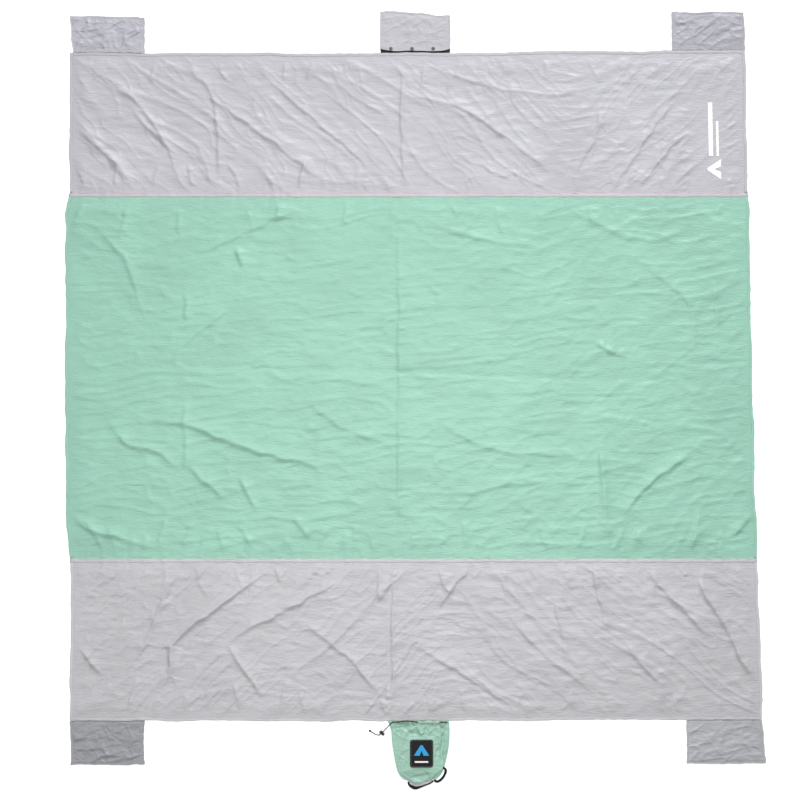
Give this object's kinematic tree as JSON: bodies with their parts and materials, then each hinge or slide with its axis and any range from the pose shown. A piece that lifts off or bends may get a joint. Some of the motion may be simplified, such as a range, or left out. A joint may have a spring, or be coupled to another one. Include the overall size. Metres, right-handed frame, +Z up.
{
  "type": "camp blanket",
  "caption": "Flat rectangular three-panel ground blanket with fold-out corner sand pockets, a snap pocket and an attached drawstring stuff sack.",
  "frame": {"origin": "centre of the blanket's underside, on the ground", "axes": "+Z up from the ground, +Y from the foot to the head, +X to the right seen from above with the head up"},
  "size_m": [2.1, 2.3736, 0.018],
  "materials": {
    "mint_nylon": "thin crinkled ripstop-free nylon, soft sheen",
    "light_grey_nylon": "thin crinkled nylon, soft sheen",
    "foot_grey_nylon": "thin crinkled nylon, soft sheen",
    "pocket_grey_nylon": "thin crinkled nylon, darker doubled layers",
    "dark_lining": "thin dark nylon lining",
    "grey_thread": "twisted polyester sewing thread",
    "snap_metal": "antiqued nickel, satin",
    "black_webbing": "woven black webbing and binding",
    "black_cord": "braided black cord",
    "black_rubber": "moulded soft rubber",
    "patch_blue": "moulded blue rubber inlay",
    "patch_white": "moulded white rubber inlay",
    "white_print": "screen print",
    "black_plastic": "moulded nylon, satin",
    "spring_wire": "drawn steel wire"
  },
  "bodies": {
    "centre": {"centre_panel": "mint_nylon", "centre_hem": "mint_nylon", "centre_hem_thread": "grey_thread"},
    "head": {"head_panel": "light_grey_nylon", "head_hem": "light_grey_nylon", "head_hem_thread": "grey_thread", "head_seam_fold": "light_grey_nylon", "head_seam_thread": "grey_thread", "printed_mark": "white_print"},
    "foot": {"foot_panel": "foot_grey_nylon", "foot_hem": "foot_grey_nylon", "foot_hem_thread": "grey_thread", "foot_seam_fold": "foot_grey_nylon", "foot_seam_thread": "grey_thread"},
    "valuables_pocket": {"valuables_back": "dark_lining", "valuables_seams": "light_grey_nylon", "snap_studs": "snap_metal", "snap_posts": "snap_metal"},
    "valuables_flap": {"valuables_front": "light_grey_nylon", "valuables_thread": "grey_thread", "snap_caps": "snap_metal", "snap_sockets": "snap_metal"},
    "sack": {"sack_back": "mint_nylon", "sack_side_folds": "mint_nylon", "sack_base": "light_grey_nylon", "base_binding": "black_webbing", "hang_loop": "black_webbing", "drawstring_tail": "black_cord", "tail_knot": "black_cord"},
    "sack_lip": {"sack_front": "mint_nylon", "cord_channel": "mint_nylon", "channel_thread": "grey_thread", "drawstring": "black_cord", "patch": "black_rubber", "patch_thread": "grey_thread", "patch_emblem": "patch_blue", "patch_bar": "patch_white"},
    "cord_lock": {"lock_barrel": "black_plastic", "lock_spring": "spring_wire"},
    "lock_press": {"lock_button": "black_plastic"},
    "head_left_pocket": {"head_left_back": "light_grey_nylon", "head_left_seams": "light_grey_nylon"},
    "head_left_flap": {"head_left_front": "light_grey_nylon", "head_left_thread": "grey_thread"},
    "head_right_pocket": {"head_right_back": "light_grey_nylon", "head_right_seams": "light_grey_nylon"},
    "head_right_flap": {"head_right_front": "light_grey_nylon", "head_right_thread": "grey_thread"},
    "foot_left_pocket": {"foot_left_back": "pocket_grey_nylon", "foot_left_seams": "pocket_grey_nylon"},
    "foot_left_flap": {"foot_left_front": "pocket_grey_nylon", "foot_left_thread": "grey_thread"},
    "foot_right_pocket": {"foot_right_back": "pocket_grey_nylon", "foot_right_seams": "pocket_grey_nylon"},
    "foot_right_flap": {"foot_right_front": "pocket_grey_nylon", "foot_right_thread": "grey_thread"}
  },
  "joints": [
    {"name": "head_fold", "type": "hinge", "parent": "centre", "child": "head", "pos_m": [0, 0.58, 0.003], "axis": [1, 0, 0], "range_deg": [0, 165]},
    {"name": "foot_fold", "type": "hinge", "parent": "centre", "child": "foot", "pos_m": [0, -0.53, 0.003], "axis": [-1, 0, 0], "range_deg": [0, 165]},
    {"name": "head_left_pocket_fold", "type": "hinge", "parent": "head", "child": "head_left_pocket", "pos_m": [-0.935, 1.02515, 0.005], "axis": [1, 0, 0], "range_deg": [0, 170]},
    {"name": "head_left_pocket_mouth", "type": "hinge", "parent": "head_left_pocket", "child": "head_left_flap", "pos_m": [-0.935, 1.1353, 0.0059], "axis": [1, 0, 0], "range_deg": [-12, 0]},
    {"name": "head_right_pocket_fold", "type": "hinge", "parent": "head", "child": "head_right_pocket", "pos_m": [0.935, 1.02515, 0.005], "axis": [1, 0, 0], "range_deg": [0, 170]},
    {"name": "head_right_pocket_mouth", "type": "hinge", "parent": "head_right_pocket", "child": "head_right_flap", "pos_m": [0.935, 1.1353, 0.0059], "axis": [1, 0, 0], "range_deg": [-12, 0]},
    {"name": "foot_left_pocket_fold", "type": "hinge", "parent": "foot", "child": "foot_left_pocket", "pos_m": [-0.935, -1.02515, 0.005], "axis": [-1, 0, 0], "range_deg": [0, 170]},
    {"name": "foot_left_pocket_mouth", "type": "hinge", "parent": "foot_left_pocket", "child": "foot_left_flap", "pos_m": [-0.935, -1.1603, 0.0059], "axis": [-1, 0, 0], "range_deg": [-12, 0]},
    {"name": "foot_right_pocket_fold", "type": "hinge", "parent": "foot", "child": "foot_right_pocket", "pos_m": [0.935, -1.02515, 0.005], "axis": [-1, 0, 0], "range_deg": [0, 170]},
    {"name": "foot_right_pocket_mouth", "type": "hinge", "parent": "foot_right_pocket", "child": "foot_right_flap", "pos_m": [0.935, -1.1603, 0.0059], "axis": [-1, 0, 0], "range_deg": [-12, 0]},
    {"name": "valuables_fold", "type": "hinge", "parent": "head", "child": "valuables_pocket", "pos_m": [0.01, 1.02515, 0.005], "axis": [1, 0, 0], "range_deg": [0, 170]},
    {"name": "valuables_mouth", "type": "hinge", "parent": "valuables_pocket", "child": "valuables_flap", "pos_m": [0.01, 1.1403, 0.0059], "axis": [1, 0, 0], "range_deg": [-12, 0]},
    {"name": "sack_fold", "type": "hinge", "parent": "foot", "child": "sack", "pos_m": [0.024, -1.02515, 0.0105], "axis": [-1, 0, 0], "range_deg": [0, 170]},
    {"name": "sack_mouth", "type": "hinge", "parent": "sack", "child": "sack_lip", "pos_m": [0.024, -1.2103, 0.0127], "axis": [-1, 0, 0], "range_deg": [-10, 0], "deforming": ["drawstring_tail"]},
    {"name": "lock_slide", "type": "slide", "parent": "sack", "child": "cord_lock", "axis": [0.7071, 0.7071, 0], "range_m": [0, 0.01]},
    {"name": "button_press", "type": "slide", "parent": "cord_lock", "child": "lock_press", "axis": [-0.7071, 0.7071, 0], "range_m": [0, 0.0018], "stiffness_N_per_m": 300, "springref_m": -0.002, "deforming": ["lock_spring"]}
  ]
}
